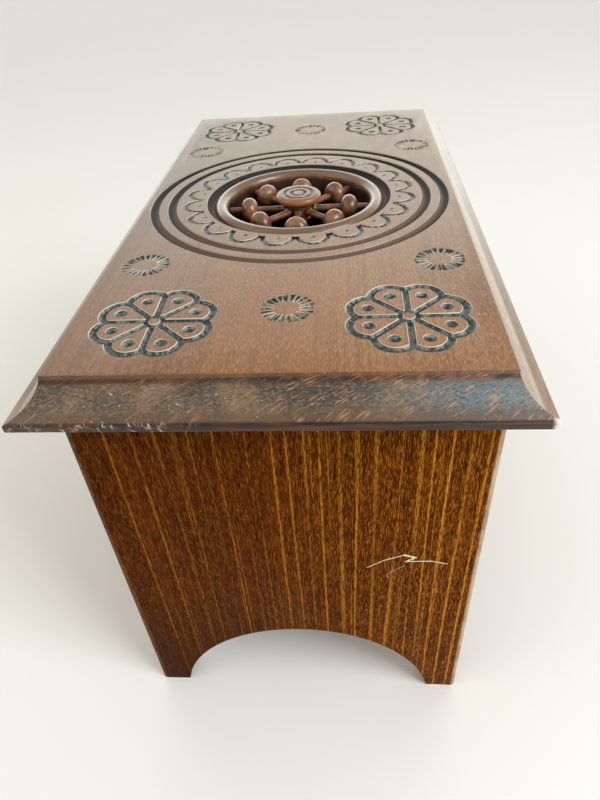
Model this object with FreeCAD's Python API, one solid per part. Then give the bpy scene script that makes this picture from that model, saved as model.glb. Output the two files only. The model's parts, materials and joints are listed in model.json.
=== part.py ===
import FreeCAD, Part
import math
import os

from FreeCAD import Vector

# Footed wooden box with a carved, moulded lid and a turned spindle wheel in the lid.
# Lengths in millimetres. X runs across the box from front to back, Y along it, Z up.
# The origin is on the floor under the middle of the box.

# Lid board and its cove moulding
lid_length = 272.0
lid_width = 150.0
lid_thickness = 12.4
cove_reach = 9.8
quirk_drop = 1.2
lid_edge_height = 2.4
cove_exit_angle = 10.0

# Carcass boards
carcass_height = 164.0
side_overhang = 9.0
end_overhang = 12.0
end_thickness = 11.0
side_thickness = 9.0
bottom_thickness = 6.0
corner_round = 1.8

# Feet and the boards' joints
foot_width = 12.5
arch_rise = 44.0
arch_cover = 3.0
skirt_depth = 15.0
housing_depth = 4.0
groove_depth = 3.0
glue_gap = 0.1
lid_gap = 0.3

# Ring grooves turned in the top of the lid
outer_groove_radius = 61.0
inner_groove_radius = 53.7
ring_groove_width = 3.8
ring_groove_depth = 1.3
bead_groove_width = 3.3
bead_groove_depth = 2.6

# Scallops cut in the top of the lid round the wheel
scallop_count = 20
scallop_margin = 1.3
scallop_rise = 7.7
scallop_notch = 2.6
scallop_cut_width = 2.4
scallop_cut_depth = 0.95
scallop_start = 10.6

# Rosettes cut in the corners of the lid
rosette_side_margin = 6.4
rosette_end_margin = 7.5
petal_count = 8
petal_orbit = 12.3
petal_radius = 6.3
petal_cut_width = 2.7
petal_cut_depth = 1.15
button_radius = 1.8

# Wheel rim, a turned ring let into the lid from below
rim_radius = 36.0
rim_wall = 5.7
bead_rise = 2.6
bead_drop = 0.3
flange_width = 4.0
flange_thickness = 3.0

# Wheel hub, a turned knob
hub_cap_radius = 9.6
hub_cap_thickness = 3.2
hub_stem_radius = 5.2
hub_lift = 1.2
hub_rise = 1.2
hub_round = 2.0
hub_socket_cover = 0.4
hub_ring_radius = 6.0
hub_button_radius = 3.0
hub_ring_width = 1.3
hub_ring_depth = 0.5

# Wheel spindles
spindle_count = 8
wheel_axis_drop = 5.7
bulb_length = 7.2
bulb_radius = 5.0
neck_radius = 1.25
outer_neck = 5.2
collar_radius = 1.75
collar_length = 2.2
tenon_radius = 1.05
hub_tenon = 1.8
rim_tenon = 3.0
tenon_gap = 0.05
shoulder_gap = 0.15

# Butt hinges under the lid's back overhang
hinge_setback = 40.0
hinge_length = 30.0
leaf_width = 8.6
leaf_thickness = 1.0
knuckle_radius = 2.0
knuckle_gap = 0.25
pin_radius = 0.9
pin_gap = 0.05
pin_end = 0.4
mortise_gap = 0.15
channel_gap = 0.3

# Hinge screws
screw_length = 8.0
screw_tip = 2.5
screw_shank_radius = 0.95
screw_head_radius = 1.8
screw_head_height = 0.9
screw_inset = 5.4
screw_spacing = 18.0
screw_gap = 0.05

# Length by which a cutting tool runs past the face that it opens
overrun = 1.0

# Shares that place a curve's middle point between its ends
groove_turn_share = 0.72
groove_floor_share = 0.70
half_turn_share = math.sqrt(0.5)

# Sizes that follow from the ones above
carcass_width = lid_width - 2 * side_overhang
carcass_length = lid_length - 2 * end_overhang
lid_bottom = carcass_height + lid_gap
lid_top = lid_bottom + lid_thickness
inner_width = carcass_width - 2 * side_thickness
inner_length = carcass_length - 2 * end_thickness
rosette_radius = petal_orbit + petal_radius + petal_cut_width / 2
rosette_x = lid_width / 2 - cove_reach - rosette_side_margin - rosette_radius
rosette_y = lid_length / 2 - cove_reach - rosette_end_margin - rosette_radius
scallop_foot = rim_radius + bead_groove_width + scallop_margin
bottom_base = arch_rise + arch_cover
side_base = bottom_base - skirt_depth
rim_inner_radius = rim_radius - rim_wall
wheel_axis_height = lid_top - wheel_axis_drop
hub_top = lid_top + hub_rise
bulb_place = rim_inner_radius - outer_neck - bulb_length / 2
pin_x = carcass_width / 2 + knuckle_radius + knuckle_gap
pin_z = carcass_height + lid_gap / 2
hinge_y = carcass_length / 2 - hinge_setback
knuckle_length = hinge_length / 3
screw_x = pin_x - screw_inset

ends = (("near", -1), ("far", 1))


def line(start, end):
    return Part.LineSegment(start, end).toShape()


def arc(start, middle, end):
    return Part.Arc(start, middle, end).toShape()


def flat(edges):
    return Part.Face(Part.Wire(edges))


def block(low, high):
    size = high - low
    return Part.makeBox(size.x, size.y, size.z, low)


def turned(face, axis):
    return face.revolve(Vector(), axis, 360)


def rod(radius, start, length, direction):
    return Part.makeCylinder(radius, length, start, direction)


def save(node, shape):
    shape.exportStep(os.path.join("parts", node + ".step"))


# Lid board

def cove_middle():
    """Inset and height, above the lid's underside, of the middle of the cove's arc."""
    rise = lid_thickness - quirk_drop - lid_edge_height
    chord = math.hypot(cove_reach, rise)
    half_turn = math.atan2(rise, cove_reach) - math.radians(cove_exit_angle)
    sagitta = chord / 2 * math.tan(half_turn / 2)
    inset = cove_reach / 2 + sagitta * rise / chord
    height = lid_edge_height + rise / 2 - sagitta * cove_reach / chord
    return inset, height


def lid_section(half_span, place):
    """Section of the moulded lid: square edge, cove, small upright step and flat top."""
    middle_inset, middle_height = cove_middle()
    edge = lid_bottom + lid_edge_height
    step = lid_top - quirk_drop
    flat_half = half_span - cove_reach
    middle_half = half_span - middle_inset
    middle = lid_bottom + middle_height
    return flat([
        line(place(-half_span, lid_bottom), place(half_span, lid_bottom)),
        line(place(half_span, lid_bottom), place(half_span, edge)),
        arc(place(half_span, edge), place(middle_half, middle), place(flat_half, step)),
        line(place(flat_half, step), place(flat_half, lid_top)),
        line(place(flat_half, lid_top), place(-flat_half, lid_top)),
        line(place(-flat_half, lid_top), place(-flat_half, step)),
        arc(place(-flat_half, step), place(-middle_half, middle), place(-half_span, edge)),
        line(place(-half_span, edge), place(-half_span, lid_bottom)),
    ])


def moulded_board():
    """The two sections' prisms cross, which mitres the moulding at the corners."""
    reach_y = lid_length / 2 + overrun
    reach_x = lid_width / 2 + overrun
    across = lid_section(lid_width / 2, lambda u, z: Vector(u, -reach_y, z))
    along = lid_section(lid_length / 2, lambda u, z: Vector(-reach_x, u, z))
    prism_across = across.extrude(Vector(0, 2 * reach_y, 0))
    prism_along = along.extrude(Vector(2 * reach_x, 0, 0))
    return prism_across.common(prism_along)


def round_groove(radius, width, depth, surface):
    """A torus that sinks a round-bottomed ring groove into a level surface."""
    tube = (width ** 2 / 4 + depth ** 2) / (2 * depth)
    return Part.makeTorus(radius, tube, Vector(0, 0, surface + tube - depth))


def bead_groove():
    """The deep groove round the wheel's bead, open towards the rim."""
    outer = rim_radius + bead_groove_width
    start = Vector(rim_radius, 0, lid_top - bead_groove_depth)
    turn = Vector(rim_radius + bead_groove_width * groove_turn_share, 0,
                  lid_top - bead_groove_depth * groove_floor_share)
    end = Vector(outer, 0, lid_top)
    above_outer = Vector(outer, 0, lid_top + overrun)
    above_inner = Vector(rim_radius, 0, lid_top + overrun)
    face = flat([
        arc(start, turn, end),
        line(end, above_outer),
        line(above_outer, above_inner),
        line(above_inner, start),
    ])
    return turned(face, Vector(0, 0, 1))


def polar(radius, angle, z):
    """Place at a radius and an angle, in degrees, about the vertical axis."""
    turn = math.radians(angle)
    return Vector(radius * math.cos(turn), radius * math.sin(turn), z)


def pocket(wires, depth):
    """Prism that sinks nested outlines into the lid's top, where every second one stays standing."""
    return Part.makeFace(wires, "Part::FaceMakerBullseye").extrude(Vector(0, 0, depth + overrun))


def scallop_band():
    """A ring of arches: the cut lies between its outer arcs and the tongues inside them."""
    floor = lid_top - scallop_cut_depth
    half_pitch = 180 / scallop_count
    tongue_half = half_pitch - math.degrees(scallop_cut_width / 2 / scallop_foot)
    notch = scallop_foot + scallop_notch
    crown = scallop_foot + scallop_rise
    half_cut = scallop_cut_width / 2
    arches, tongues = [], []
    for index in range(scallop_count):
        middle = scallop_start + 2 * half_pitch * index
        arches.append(arc(polar(notch, middle - half_pitch, floor),
                          polar(crown + half_cut, middle, floor),
                          polar(notch, middle + half_pitch, floor)))
        end = polar(scallop_foot, middle + tongue_half, floor)
        tongues.append(arc(polar(scallop_foot, middle - tongue_half, floor),
                           polar(crown - half_cut, middle, floor), end))
        tongues.append(line(end, polar(scallop_foot, middle + 2 * half_pitch - tongue_half, floor)))
    return pocket([Part.Wire(arches), Part.Wire(tongues)], scallop_cut_depth)


def petal(middle, floor):
    """Outline of the wood that stays in a petal: two straight sides and a round end."""
    half_pitch = 180 / petal_count
    half_angle = math.radians(half_pitch)
    half_cut = petal_cut_width / 2
    inner = petal_radius - half_cut
    beside = petal_orbit * math.sin(half_angle) - half_cut
    reach = petal_orbit * math.cos(half_angle) + math.sqrt(inner ** 2 - beside ** 2)
    radius = math.hypot(reach, half_cut)
    spread = half_pitch - math.degrees(math.atan2(half_cut, reach))
    tip = polar(half_cut / math.sin(half_angle), middle, floor)
    low = polar(radius, middle - spread, floor)
    high = polar(radius, middle + spread, floor)
    crown = polar(petal_orbit + inner, middle, floor)
    return Part.Wire([line(tip, low), arc(low, crown, high), line(high, tip)])


def rosette():
    """A pocket with a lobed outline, in which the petals and a button stay standing."""
    floor = lid_top - petal_cut_depth
    half_pitch = 180 / petal_count
    half_angle = math.radians(half_pitch)
    outer = petal_radius + petal_cut_width / 2
    notch = petal_orbit * math.cos(half_angle) + math.sqrt(
        outer ** 2 - (petal_orbit * math.sin(half_angle)) ** 2)
    middles = [half_pitch * (2 * index + 1) for index in range(petal_count)]
    lobes = [arc(polar(notch, middle - half_pitch, floor), polar(rosette_radius, middle, floor),
                 polar(notch, middle + half_pitch, floor)) for middle in middles]
    button = Part.Wire(Part.makeCircle(button_radius, Vector(0, 0, floor)))
    petals = [petal(middle, floor) for middle in middles]
    return pocket([Part.Wire(lobes), button, *petals], petal_cut_depth)


def corner_rosettes():
    cutter = rosette()
    places = [Vector(side * rosette_x, end * rosette_y, 0) for side in (-1, 1) for end in (-1, 1)]
    return [cutter.translated(place) for place in places]


def rim_seat():
    """Through hole and counterbore that the wheel rim is let into from below."""
    below = Vector(0, 0, lid_bottom - overrun)
    hole = rod(rim_radius + glue_gap, below, lid_thickness + 2 * overrun, Vector(0, 0, 1))
    counterbore = rod(rim_radius + flange_width + glue_gap, below,
                      overrun + flange_thickness + glue_gap, Vector(0, 0, 1))
    return hole.fuse(counterbore)


def lid_hinge_pocket(y):
    """Mortise for a lid leaf and the channel that clears the knuckles."""
    half = hinge_length / 2 + mortise_gap
    channel_half = half + pin_end
    pocket = block(Vector(pin_x - leaf_width - mortise_gap, y - half, lid_bottom - overrun),
                   Vector(pin_x, y + half, lid_bottom + leaf_thickness + mortise_gap))
    reach = knuckle_radius + channel_gap
    channel = block(Vector(pin_x - reach, y - channel_half, lid_bottom - overrun),
                    Vector(pin_x + reach, y + channel_half, pin_z + reach))
    return pocket.fuse(channel)


def lid_board():
    board = moulded_board()
    tools = [
        round_groove(outer_groove_radius, ring_groove_width, ring_groove_depth, lid_top),
        round_groove(inner_groove_radius, ring_groove_width, ring_groove_depth, lid_top),
        bead_groove(),
        rim_seat(),
        scallop_band(),
    ]
    tools += corner_rosettes()
    tools += [lid_hinge_pocket(sign * hinge_y) for _, sign in ends]
    tools += lid_screws(screw_gap)
    for tool in tools:
        board = board.cut(tool)
    return board


# Spindle wheel

def wheel_rim():
    """Turned ring: a flange below, a straight wall and a rounded bead on top."""
    spring = lid_top - bead_drop - bead_rise
    flange_radius = rim_radius + flange_width
    flange_top = lid_bottom + flange_thickness
    outline = [
        Vector(rim_radius, 0, spring),
        Vector(rim_radius, 0, flange_top),
        Vector(flange_radius, 0, flange_top),
        Vector(flange_radius, 0, lid_bottom),
        Vector(rim_inner_radius, 0, lid_bottom),
        Vector(rim_inner_radius, 0, spring),
    ]
    edges = [line(a, b) for a, b in zip(outline, outline[1:])]
    crown = Vector(rim_inner_radius + rim_wall / 2, 0, spring + bead_rise)
    edges.append(arc(outline[-1], crown, outline[0]))
    ring = turned(flat(edges), Vector(0, 0, 1))
    for turn in spindle_turns():
        start = Vector(rim_inner_radius - overrun, 0, wheel_axis_height)
        depth = overrun + rim_tenon + tenon_gap
        socket = rod(tenon_radius + tenon_gap, start, depth, Vector(1, 0, 0))
        ring = ring.cut(placed_by(socket, turn))
    return ring


def wheel_hub():
    """Turned knob: a stem for the spindles, a hollow under the cap and rings on its top."""
    base = lid_bottom + hub_lift
    cap_base = hub_top - hub_cap_thickness
    edge = hub_cap_thickness / 2
    flat_radius = hub_cap_radius - edge
    foot = Vector(0, 0, base)
    foot_turn = Vector(hub_stem_radius * half_turn_share, 0,
                       base + hub_round * (1 - half_turn_share))
    stem_low = Vector(hub_stem_radius, 0, base + hub_round)
    socket_top = wheel_axis_height + tenon_radius + tenon_gap
    stem_high = Vector(hub_stem_radius, 0, socket_top + hub_socket_cover)
    throat = Vector(hub_stem_radius + (flat_radius - hub_stem_radius) * (1 - half_turn_share), 0,
                    stem_high.z + (cap_base - stem_high.z) * half_turn_share)
    cap_low = Vector(flat_radius, 0, cap_base)
    cap_side = Vector(hub_cap_radius, 0, cap_base + edge)
    cap_high = Vector(flat_radius, 0, hub_top)
    centre = Vector(0, 0, hub_top)
    face = flat([
        arc(foot, foot_turn, stem_low),
        line(stem_low, stem_high),
        arc(stem_high, throat, cap_low),
        arc(cap_low, cap_side, cap_high),
        line(cap_high, centre),
        line(centre, foot),
    ])
    hub = turned(face, Vector(0, 0, 1))
    for radius in (hub_ring_radius, hub_button_radius):
        hub = hub.cut(round_groove(radius, hub_ring_width, hub_ring_depth, hub_top))
    for turn in spindle_turns():
        depth = hub_tenon + tenon_gap
        start = Vector(hub_stem_radius - depth, 0, wheel_axis_height)
        socket = rod(tenon_radius + tenon_gap, start, depth + overrun, Vector(1, 0, 0))
        hub = hub.cut(placed_by(socket, turn))
    return hub


def spindle_turns():
    return [360 * index / spindle_count for index in range(spindle_count)]


def placed_by(shape, turn):
    copy = shape.copy()
    copy.rotate(Vector(), Vector(0, 0, 1), turn)
    return copy


def spindle():
    """One turned spindle along +X: tenon, collar, neck, bulb, neck and tenon."""
    hub_face = hub_stem_radius + shoulder_gap
    rim_face = rim_inner_radius - shoulder_gap
    bulb_start = bulb_place - bulb_length / 2
    bulb_end = bulb_place + bulb_length / 2

    def at(reach, radius):
        return Vector(reach, 0, radius)

    start = hub_stem_radius - hub_tenon
    end = rim_inner_radius + rim_tenon
    collar_end = hub_face + collar_length
    edges = [
        line(at(start, 0), at(start, tenon_radius)),
        line(at(start, tenon_radius), at(hub_face, tenon_radius)),
        line(at(hub_face, tenon_radius), at(hub_face, neck_radius)),
        arc(at(hub_face, neck_radius), at(hub_face + collar_length / 2, collar_radius),
            at(collar_end, neck_radius)),
        line(at(collar_end, neck_radius), at(bulb_start, neck_radius)),
        arc(at(bulb_start, neck_radius), at(bulb_place, bulb_radius), at(bulb_end, neck_radius)),
        line(at(bulb_end, neck_radius), at(rim_face, neck_radius)),
        line(at(rim_face, neck_radius), at(rim_face, tenon_radius)),
        line(at(rim_face, tenon_radius), at(end, tenon_radius)),
        line(at(end, tenon_radius), at(end, 0)),
        line(at(end, 0), at(start, 0)),
    ]
    solid = turned(flat(edges), Vector(1, 0, 0))
    solid.translate(Vector(0, 0, wheel_axis_height))
    return solid


# Carcass

def end_panel(sign):
    """Upright end board with an arch between its feet and housings on its inner face."""
    half = carcass_width / 2
    inner_foot = half - foot_width
    outer_y = carcass_length / 2

    def at(x, z):
        return Vector(x, -outer_y, z)

    outline = [
        at(inner_foot, 0), at(half, 0), at(half, carcass_height),
        at(-half, carcass_height), at(-half, 0), at(-inner_foot, 0),
    ]
    edges = [line(a, b) for a, b in zip(outline, outline[1:])]
    edges.append(arc(outline[-1], at(0, arch_rise), outline[0]))
    board = flat(edges).extrude(Vector(0, end_thickness, 0))
    corners = [edge for edge in board.Edges if is_outer_corner(edge, half, -outer_y)]
    board = board.makeFillet(corner_round, corners)
    inner_y = -inner_length / 2
    for side in (-1, 1):
        outside = side * (half + overrun)
        inside = side * (half - side_thickness - glue_gap)
        board = board.cut(block(
            Vector(min(outside, inside), inner_y - housing_depth - glue_gap, side_base - glue_gap),
            Vector(max(outside, inside), inner_y + overrun, carcass_height + overrun)))
    tray_half = inner_width / 2 + groove_depth
    board = board.cut(block(
        Vector(-tray_half, inner_y - groove_depth - glue_gap, bottom_base - glue_gap),
        Vector(tray_half, inner_y + overrun, bottom_base + bottom_thickness + glue_gap)))
    if sign > 0:
        board.rotate(Vector(), Vector(0, 0, 1), 180)
    return board


def is_outer_corner(edge, half, y):
    """True for the two upright edges of the outer face."""
    ends_at = [vertex.Point for vertex in edge.Vertexes]
    tolerance = glue_gap / 2
    return all(abs(abs(p.x) - half) < tolerance and abs(p.y - y) < tolerance for p in ends_at)


def side_panel(side):
    """Front or back board, housed in the end panels and grooved for the bottom."""
    outer = carcass_width / 2
    reach = inner_length / 2 + housing_depth
    board = block(Vector(outer - side_thickness, -reach, side_base), Vector(outer, reach, carcass_height))
    groove_x = inner_width / 2 + groove_depth + glue_gap
    board = board.cut(block(
        Vector(inner_width / 2 - overrun, -reach - overrun, bottom_base - glue_gap),
        Vector(groove_x, reach + overrun, bottom_base + bottom_thickness + glue_gap)))
    if side < 0:
        board.rotate(Vector(), Vector(0, 0, 1), 180)
    return board


def back_panel():
    """Back board with the mortises and screw holes of the hinges in its top edge."""
    board = side_panel(1)
    half = hinge_length / 2 + mortise_gap
    floor = carcass_height - leaf_thickness - mortise_gap
    for _, sign in ends:
        y = sign * hinge_y
        board = board.cut(block(
            Vector(pin_x - leaf_width - mortise_gap, y - half, floor),
            Vector(carcass_width / 2 + overrun, y + half, carcass_height + overrun)))
    for tool in box_screws(screw_gap):
        board = board.cut(tool)
    return board


def bottom_panel():
    half_x = inner_width / 2 + groove_depth
    half_y = inner_length / 2 + groove_depth
    low = Vector(-half_x, -half_y, bottom_base)
    return block(low, Vector(half_x, half_y, bottom_base + bottom_thickness))


# Hinges

def hinge_leaf(y, spans, up):
    """A leaf with its knuckles; spans are the thirds of the hinge that it carries."""
    face = pin_z + up * lid_gap / 2
    back = face + up * leaf_thickness
    low = min(face, back)
    high = max(face, back)
    start = y - hinge_length / 2
    clear = pin_x - knuckle_radius - knuckle_gap
    leaf = block(Vector(pin_x - leaf_width, start, low), Vector(clear, start + hinge_length, high))
    for span in spans:
        first = start + span * knuckle_length
        last = first + knuckle_length
        if span > 0:
            first += knuckle_gap / 2
        if span < 2:
            last -= knuckle_gap / 2
        tab = block(Vector(clear - leaf_thickness, first, low), Vector(pin_x, last, high))
        barrel = rod(knuckle_radius, Vector(pin_x, first, pin_z), last - first, Vector(0, 1, 0))
        leaf = leaf.fuse([tab, barrel]).removeSplitter()
    bore = rod(pin_radius + pin_gap, Vector(pin_x, start - overrun, pin_z),
               hinge_length + 2 * overrun, Vector(0, 1, 0))
    leaf = leaf.cut(bore)
    for tool in screws_at(y, up, screw_gap):
        leaf = leaf.cut(tool)
    return leaf


def hinge_pin(y):
    start = Vector(pin_x, y - hinge_length / 2 - pin_end, pin_z)
    return rod(pin_radius, start, hinge_length + 2 * pin_end, Vector(0, 1, 0))


def screw(gap):
    """Countersunk screw that points down from its head; a gap makes its hole's tool."""
    head = screw_head_radius + gap
    shank = screw_shank_radius + gap
    outline = [
        (0, gap), (head, gap), (shank, -screw_head_height),
        (shank, screw_tip - screw_length), (0, -screw_length - gap), (0, gap),
    ]
    points = [Vector(radius, 0, height) for radius, height in outline]
    return turned(flat([line(a, b) for a, b in zip(points, points[1:])]), Vector(0, 0, 1))


def screws_at(y, up, gap):
    """The two screws of one leaf, with their heads level with the leaf's face."""
    tools = []
    for side in (-1, 1):
        tool = screw(gap)
        if up > 0:
            tool.rotate(Vector(), Vector(1, 0, 0), 180)
        tool.translate(Vector(screw_x, y + side * screw_spacing / 2, pin_z + up * lid_gap / 2))
        tools.append(tool)
    return tools


def box_screws(gap):
    return [tool for _, sign in ends for tool in screws_at(sign * hinge_y, -1, gap)]


def lid_screws(gap):
    return [tool for _, sign in ends for tool in screws_at(sign * hinge_y, 1, gap)]


def main():
    os.makedirs("parts", exist_ok=True)
    save("lid_board", lid_board())
    save("wheel_rim", wheel_rim())
    save("wheel_hub", wheel_hub())
    for index, turn in enumerate(spindle_turns(), start=1):
        save(f"wheel_spindle_{index}", placed_by(spindle(), turn))
    for name, sign in ends:
        save(f"{name}_end_panel", end_panel(sign))
        save(f"{name}_hinge_box_leaf", hinge_leaf(sign * hinge_y, (0, 2), -1))
        save(f"{name}_hinge_lid_leaf", hinge_leaf(sign * hinge_y, (1,), 1))
        save(f"{name}_hinge_pin", hinge_pin(sign * hinge_y))
    save("front_panel", side_panel(-1))
    save("back_panel", back_panel())
    save("bottom_panel", bottom_panel())
    save("hinge_box_screws", Part.makeCompound(box_screws(0)))
    save("hinge_lid_screws", Part.makeCompound(lid_screws(0)))


main()
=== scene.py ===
# %% [markdown]
# # A carved keepsake box with a spindle wheel in its lid
# The object is a small footed box of dark stained beech. Its lid has a cove moulding, cut rosettes,
# sun rings and a band of scallops round a turned wheel that looks down into the box.
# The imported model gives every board, hinge and spindle its place, so this lesson only gives them
# their true surfaces: worn edges, gouge cuts, grain and stain.

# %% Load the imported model
import functools
import json
import math
import random

import bmesh
import bpy
from mathutils import Matrix, Vector


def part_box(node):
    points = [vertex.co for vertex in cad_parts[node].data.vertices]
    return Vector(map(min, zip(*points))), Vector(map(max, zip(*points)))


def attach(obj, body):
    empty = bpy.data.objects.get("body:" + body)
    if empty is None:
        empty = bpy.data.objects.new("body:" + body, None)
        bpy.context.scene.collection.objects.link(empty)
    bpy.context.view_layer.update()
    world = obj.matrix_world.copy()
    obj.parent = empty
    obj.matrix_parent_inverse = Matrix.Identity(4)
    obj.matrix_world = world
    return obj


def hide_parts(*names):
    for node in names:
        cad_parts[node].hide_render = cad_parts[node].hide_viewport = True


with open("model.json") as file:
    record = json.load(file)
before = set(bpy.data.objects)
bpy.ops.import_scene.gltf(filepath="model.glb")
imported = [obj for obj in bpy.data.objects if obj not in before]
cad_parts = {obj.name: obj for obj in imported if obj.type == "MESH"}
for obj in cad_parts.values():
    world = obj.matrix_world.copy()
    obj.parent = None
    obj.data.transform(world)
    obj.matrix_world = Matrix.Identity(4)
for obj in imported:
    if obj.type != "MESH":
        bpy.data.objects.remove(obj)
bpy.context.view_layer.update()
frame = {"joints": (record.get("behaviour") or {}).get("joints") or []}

mm = 0.001

# %% [markdown]
# ## Camera
# The picture was taken by hand from just above the near end, with a wide lens, so the lid runs away
# fast towards its far end. Three turns aim it, which are easy to adjust one at a time: roll tilts it about
# its own line of sight, pitch tips it down from level and yaw swings it round.

# %% Camera
camera_place = Vector((20.8, -255.7, 273.6)) * mm
camera_yaw = math.radians(-6.0)
camera_pitch = math.radians(39.27)
camera_roll = math.radians(-4.39)
lens_in_pixels = 608.3
image_height = 800
sensor = 36.0
clip_start = 10 * mm

lens = bpy.data.cameras.new("camera")
lens.sensor_width = sensor
lens.lens = lens_in_pixels / image_height * sensor
lens.clip_start = clip_start
camera = bpy.data.objects.new("camera", lens)
swing = Matrix.Rotation(-camera_yaw, 4, "Z")
tip_down = Matrix.Rotation(math.pi / 2 - camera_pitch, 4, "X")
tilt = Matrix.Rotation(camera_roll, 4, "Z")
camera.matrix_world = Matrix.Translation(camera_place) @ swing @ tip_down @ tilt
bpy.context.scene.collection.objects.link(camera)
bpy.context.scene.camera = camera
bpy.context.scene.view_settings.view_transform = "Standard"
print("lens", round(lens.lens, 2), "mm")

# %% [markdown]
# ## Small tools for modelling by operators
# Every operator acts on whatever is selected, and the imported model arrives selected. So each step
# starts from nothing selected, and faces and edges are then picked by their place.

# %% Selecting
facing_up = 0.999


def deselect_all():
    """Object mode with nothing selected."""
    if bpy.context.object and bpy.context.object.mode != "OBJECT":
        bpy.ops.object.mode_set(mode="OBJECT")
    bpy.ops.object.select_all(action="DESELECT")


def choose(*pieces):
    """Object mode with these pieces selected, the first of them active."""
    deselect_all()
    for piece in pieces:
        piece.select_set(True)
    bpy.context.view_layer.objects.active = pieces[0]


def open_mesh(piece, mode="FACE"):
    """Edit mode on one piece with nothing picked."""
    choose(piece)
    bpy.ops.object.mode_set(mode="EDIT")
    bpy.ops.mesh.select_mode(type=mode)
    bpy.ops.mesh.select_all(action="DESELECT")


def pick(piece, kind, test):
    """Pick the faces or edges that pass the test."""
    mesh = bmesh.from_edit_mesh(piece.data)
    for part in getattr(mesh, kind):
        if test(part):
            part.select_set(True)
    bmesh.update_edit_mesh(piece.data)


def pick_top(piece):
    pick(piece, "faces", lambda face: face.normal.z > facing_up)


def pick_all():
    bpy.ops.mesh.select_all(action="SELECT")


def close_mesh():
    bpy.ops.object.mode_set(mode="OBJECT")


print("selected by the load", len(bpy.context.selected_objects))
deselect_all()
print("selected now", len(bpy.context.selected_objects))

# %% [markdown]
# A board starts as a cube primitive at its own size. A turned piece starts as one vertex that is
# extruded along half its outline and spun about the axis, just as a turner's template is.

# %% Starting shapes
weld_distance = mm / 1000


def block(name, low, high):
    """A cube primitive between two corners."""
    deselect_all()
    low, high = Vector(low), Vector(high)
    bpy.ops.mesh.primitive_cube_add(size=1)
    piece = bpy.context.object
    piece.name = name
    piece.location = (low + high) / 2
    piece.scale = high - low
    bpy.ops.object.transform_apply(location=True, rotation=True, scale=True)
    return piece


def lathe(name, outline, steps=96, angle=math.tau):
    """Spin an outline of (radius, height) points about the Z axis and close what stays open."""
    deselect_all()
    bpy.ops.mesh.primitive_plane_add(size=mm)
    piece = bpy.context.object
    piece.name = name
    open_mesh(piece, "VERT")
    pick_all()
    bpy.ops.mesh.merge(type="CENTER")
    bpy.ops.transform.translate(value=(outline[0][0], 0, outline[0][1]))
    for (radius, height), (next_radius, next_height) in zip(outline, outline[1:]):
        step = (next_radius - radius, 0, next_height - height)
        bpy.ops.mesh.extrude_vertices_move(TRANSFORM_OT_translate={"value": step})
    pick_all()
    bpy.ops.mesh.spin(steps=steps, angle=angle, center=(0, 0, 0), axis=(0, 0, 1))
    pick_all()
    bpy.ops.mesh.remove_doubles(threshold=weld_distance)
    bpy.ops.mesh.fill_holes(sides=0)
    bpy.ops.mesh.normals_make_consistent(inside=False)
    close_mesh()
    return piece


def arc(start, middle, end, steps=10):
    """Points of the circle through three points, both ends included."""
    (ax, ay), (bx, by), (cx, cy) = start, middle, end
    twice = 2 * (ax * (by - cy) + bx * (cy - ay) + cx * (ay - by))
    a, b, c = ax * ax + ay * ay, bx * bx + by * by, cx * cx + cy * cy
    x = (a * (by - cy) + b * (cy - ay) + c * (ay - by)) / twice
    y = (a * (cx - bx) + b * (ax - cx) + c * (bx - ax)) / twice
    radius = math.hypot(ax - x, ay - y)
    first, between, last = (math.atan2(py - y, px - x) for px, py in (start, middle, end))
    sweep = (last - first) % math.tau
    if (between - first) % math.tau > sweep:
        sweep -= math.tau
    turns = [first + sweep * step / steps for step in range(steps + 1)]
    return [(x + radius * math.cos(turn), y + radius * math.sin(turn)) for turn in turns]


half_circle = arc((1, 0), (0, 1), (-1, 0), 4)
print("a half circle in four steps", [(round(x, 2), round(y, 2)) for x, y in half_circle])

# %% [markdown]
# Gouge cuts, mortises and housings are cut by Boolean modifiers. Cutters that touch each other go in
# separate groups, because a solid that overlaps itself has no clear inside.

# %% Copies and cuts
boolean_solver = "MANIFOLD"


def shift(x=0, y=0, z=0):
    return Matrix.Translation((x, y, z))


def copy_of(piece, place):
    """A copy with a mesh of its own, moved by a matrix."""
    twin = piece.copy()
    twin.data = piece.data.copy()
    twin.data.transform(place)
    bpy.context.scene.collection.objects.link(twin)
    return twin


def discard(*pieces):
    for piece in pieces:
        bpy.data.meshes.remove(piece.data)


def modify(piece, kind, **settings):
    """Add one modifier with its settings and apply it."""
    choose(piece)
    bpy.ops.object.modifier_add(type=kind)
    modifier = piece.modifiers[-1]
    for name, value in settings.items():
        setattr(modifier, name, value)
    bpy.ops.object.modifier_apply(modifier=modifier.name)


def combine(piece, other, operation):
    """Apply one Boolean and throw the other shape away."""
    modify(piece, "BOOLEAN", object=other, operation=operation, solver=boolean_solver)
    discard(other)


def carve(piece, *groups):
    """Cut groups of cutters out of a piece; the cutters in one group stay clear of each other."""
    for group in groups:
        choose(*group)
        if len(group) > 1:
            bpy.ops.object.join()
        combine(piece, group[0], "DIFFERENCE")


print("cuts use the solver", boolean_solver)

# %% [markdown]
# Sanding takes the sharpness off every edge, and a Bevel modifier with an angle limit does the same. A
# finished piece is shaded smooth except over sharp edges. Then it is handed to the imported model: it rides
# on a body and stands for the nodes that it replaces. Open edges are counted, as a closed solid has none.

# %% Soft edges and seating
soft_angle = 50
smooth_angle = 32


def soften(piece, width, segments):
    """Round every edge sharper than the soft angle, as sanding does."""
    modify(piece, "BEVEL", width=width, segments=segments, limit_method="ANGLE",
           angle_limit=math.radians(soft_angle))


def size_of(piece):
    """A piece's three sides in millimetres, for printing."""
    return [round(side / mm, 2) for side in piece.dimensions]


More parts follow.
